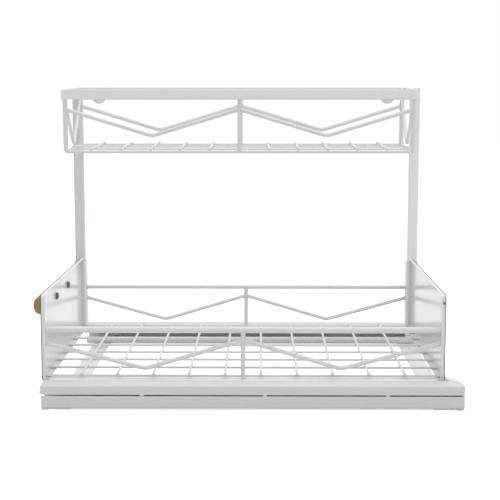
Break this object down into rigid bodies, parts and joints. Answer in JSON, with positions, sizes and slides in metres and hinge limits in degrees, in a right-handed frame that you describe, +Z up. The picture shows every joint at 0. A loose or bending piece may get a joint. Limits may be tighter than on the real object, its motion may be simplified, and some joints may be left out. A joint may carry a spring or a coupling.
{
  "type": "under sink organizer",
  "caption": "Two-tier pull-out wire basket organizer that rolls on floor rails, with pressed end panels, square uprights and an oval wooden handle.",
  "frame": {"origin": "bottom centre of the whole object's box, on the plane that the rails stand on", "axes": "+X along the rails, away from the wooden handle; +Y across, from the near rail to the uprights; +Z up"},
  "size_m": [0.4332, 0.3216, 0.3165],
  "materials": {
    "rail_coat": "white powder coat, satin",
    "wire_coat": "white powder coat, satin",
    "panel_gloss": "white enamel, gloss",
    "oiled_wood": "turned hardwood, oiled",
    "dark_steel": "blackened pan head screws",
    "bright_steel": "zinc plated",
    "roller_nylon": "natural nylon",
    "white_plastic": "moulded, fine matt"
  },
  "bodies": {
    "base": {"near_lower_channel": "rail_coat", "far_lower_channel": "rail_coat", "near_upper_angle": "rail_coat", "far_upper_angle": "rail_coat", "rail_end_plugs": "white_plastic", "rail_feet": "white_plastic", "front_cross_strip": "rail_coat", "rear_cross_strip": "rail_coat", "near_front_axle": "bright_steel", "far_front_axle": "bright_steel"},
    "drawer": {"near_runner": "rail_coat", "far_runner": "rail_coat", "near_top_bar": "wire_coat", "far_top_bar": "wire_coat", "near_zigzag": "wire_coat", "far_zigzag": "wire_coat", "near_centre_bar": "wire_coat", "far_centre_bar": "wire_coat", "near_bottom_rail": "wire_coat", "far_bottom_rail": "wire_coat", "floor_long_wires": "wire_coat", "floor_cross_wires": "wire_coat", "upper_band": "wire_coat", "upper_corner_rods": "wire_coat", "upper_bottom_ring": "wire_coat", "upper_near_zigzag": "wire_coat", "upper_far_zigzag": "wire_coat", "upper_front_end_wire": "wire_coat", "upper_rear_end_wire": "wire_coat", "upper_near_centre_bar": "wire_coat", "upper_far_centre_bar": "wire_coat", "upper_long_wires": "wire_coat", "upper_cross_wires": "wire_coat", "mounting_ears": "wire_coat", "front_sleeve": "wire_coat", "rear_sleeve": "wire_coat", "front_post": "wire_coat", "rear_post": "wire_coat", "top_crossbar": "wire_coat", "front_panel": "panel_gloss", "rear_panel": "panel_gloss", "wooden_handle": "oiled_wood", "handle_screws": "dark_steel", "post_screws": "bright_steel", "ear_screws": "bright_steel", "near_rear_axle": "bright_steel", "far_rear_axle": "bright_steel", "post_caps": "white_plastic"},
    "near_front_roller": {"near_front_roller": "roller_nylon"},
    "far_front_roller": {"far_front_roller": "roller_nylon"},
    "near_rear_roller": {"near_rear_roller": "roller_nylon"},
    "far_rear_roller": {"far_rear_roller": "roller_nylon"}
  },
  "joints": [
    {"name": "drawer_slide", "type": "slide", "parent": "base", "child": "drawer", "axis": [-1, 0, 0], "range_m": [0, 0.28]},
    {"name": "near_front_roller_spin", "type": "hinge", "parent": "base", "child": "near_front_roller", "pos_m": [-0.1637, -0.15275, 0.00955], "axis": [0, 1, 0], "continuous": true},
    {"name": "far_front_roller_spin", "type": "hinge", "parent": "base", "child": "far_front_roller", "pos_m": [-0.1637, 0.15275, 0.00955], "axis": [0, 1, 0], "continuous": true},
    {"name": "near_rear_roller_spin", "type": "hinge", "parent": "drawer", "child": "near_rear_roller", "pos_m": [0.203, -0.15275, 0.0132], "axis": [0, 1, 0], "continuous": true},
    {"name": "far_rear_roller_spin", "type": "hinge", "parent": "drawer", "child": "far_rear_roller", "pos_m": [0.203, 0.15275, 0.0132], "axis": [0, 1, 0], "continuous": true}
  ],
  "couplings": [
    {"joint": "near_front_roller_spin", "follows": "drawer_slide", "rad_per_m": -153.85},
    {"joint": "far_front_roller_spin", "follows": "drawer_slide", "rad_per_m": -153.85},
    {"joint": "near_rear_roller_spin", "follows": "drawer_slide", "rad_per_m": -97.087},
    {"joint": "far_rear_roller_spin", "follows": "drawer_slide", "rad_per_m": -97.087}
  ]
}
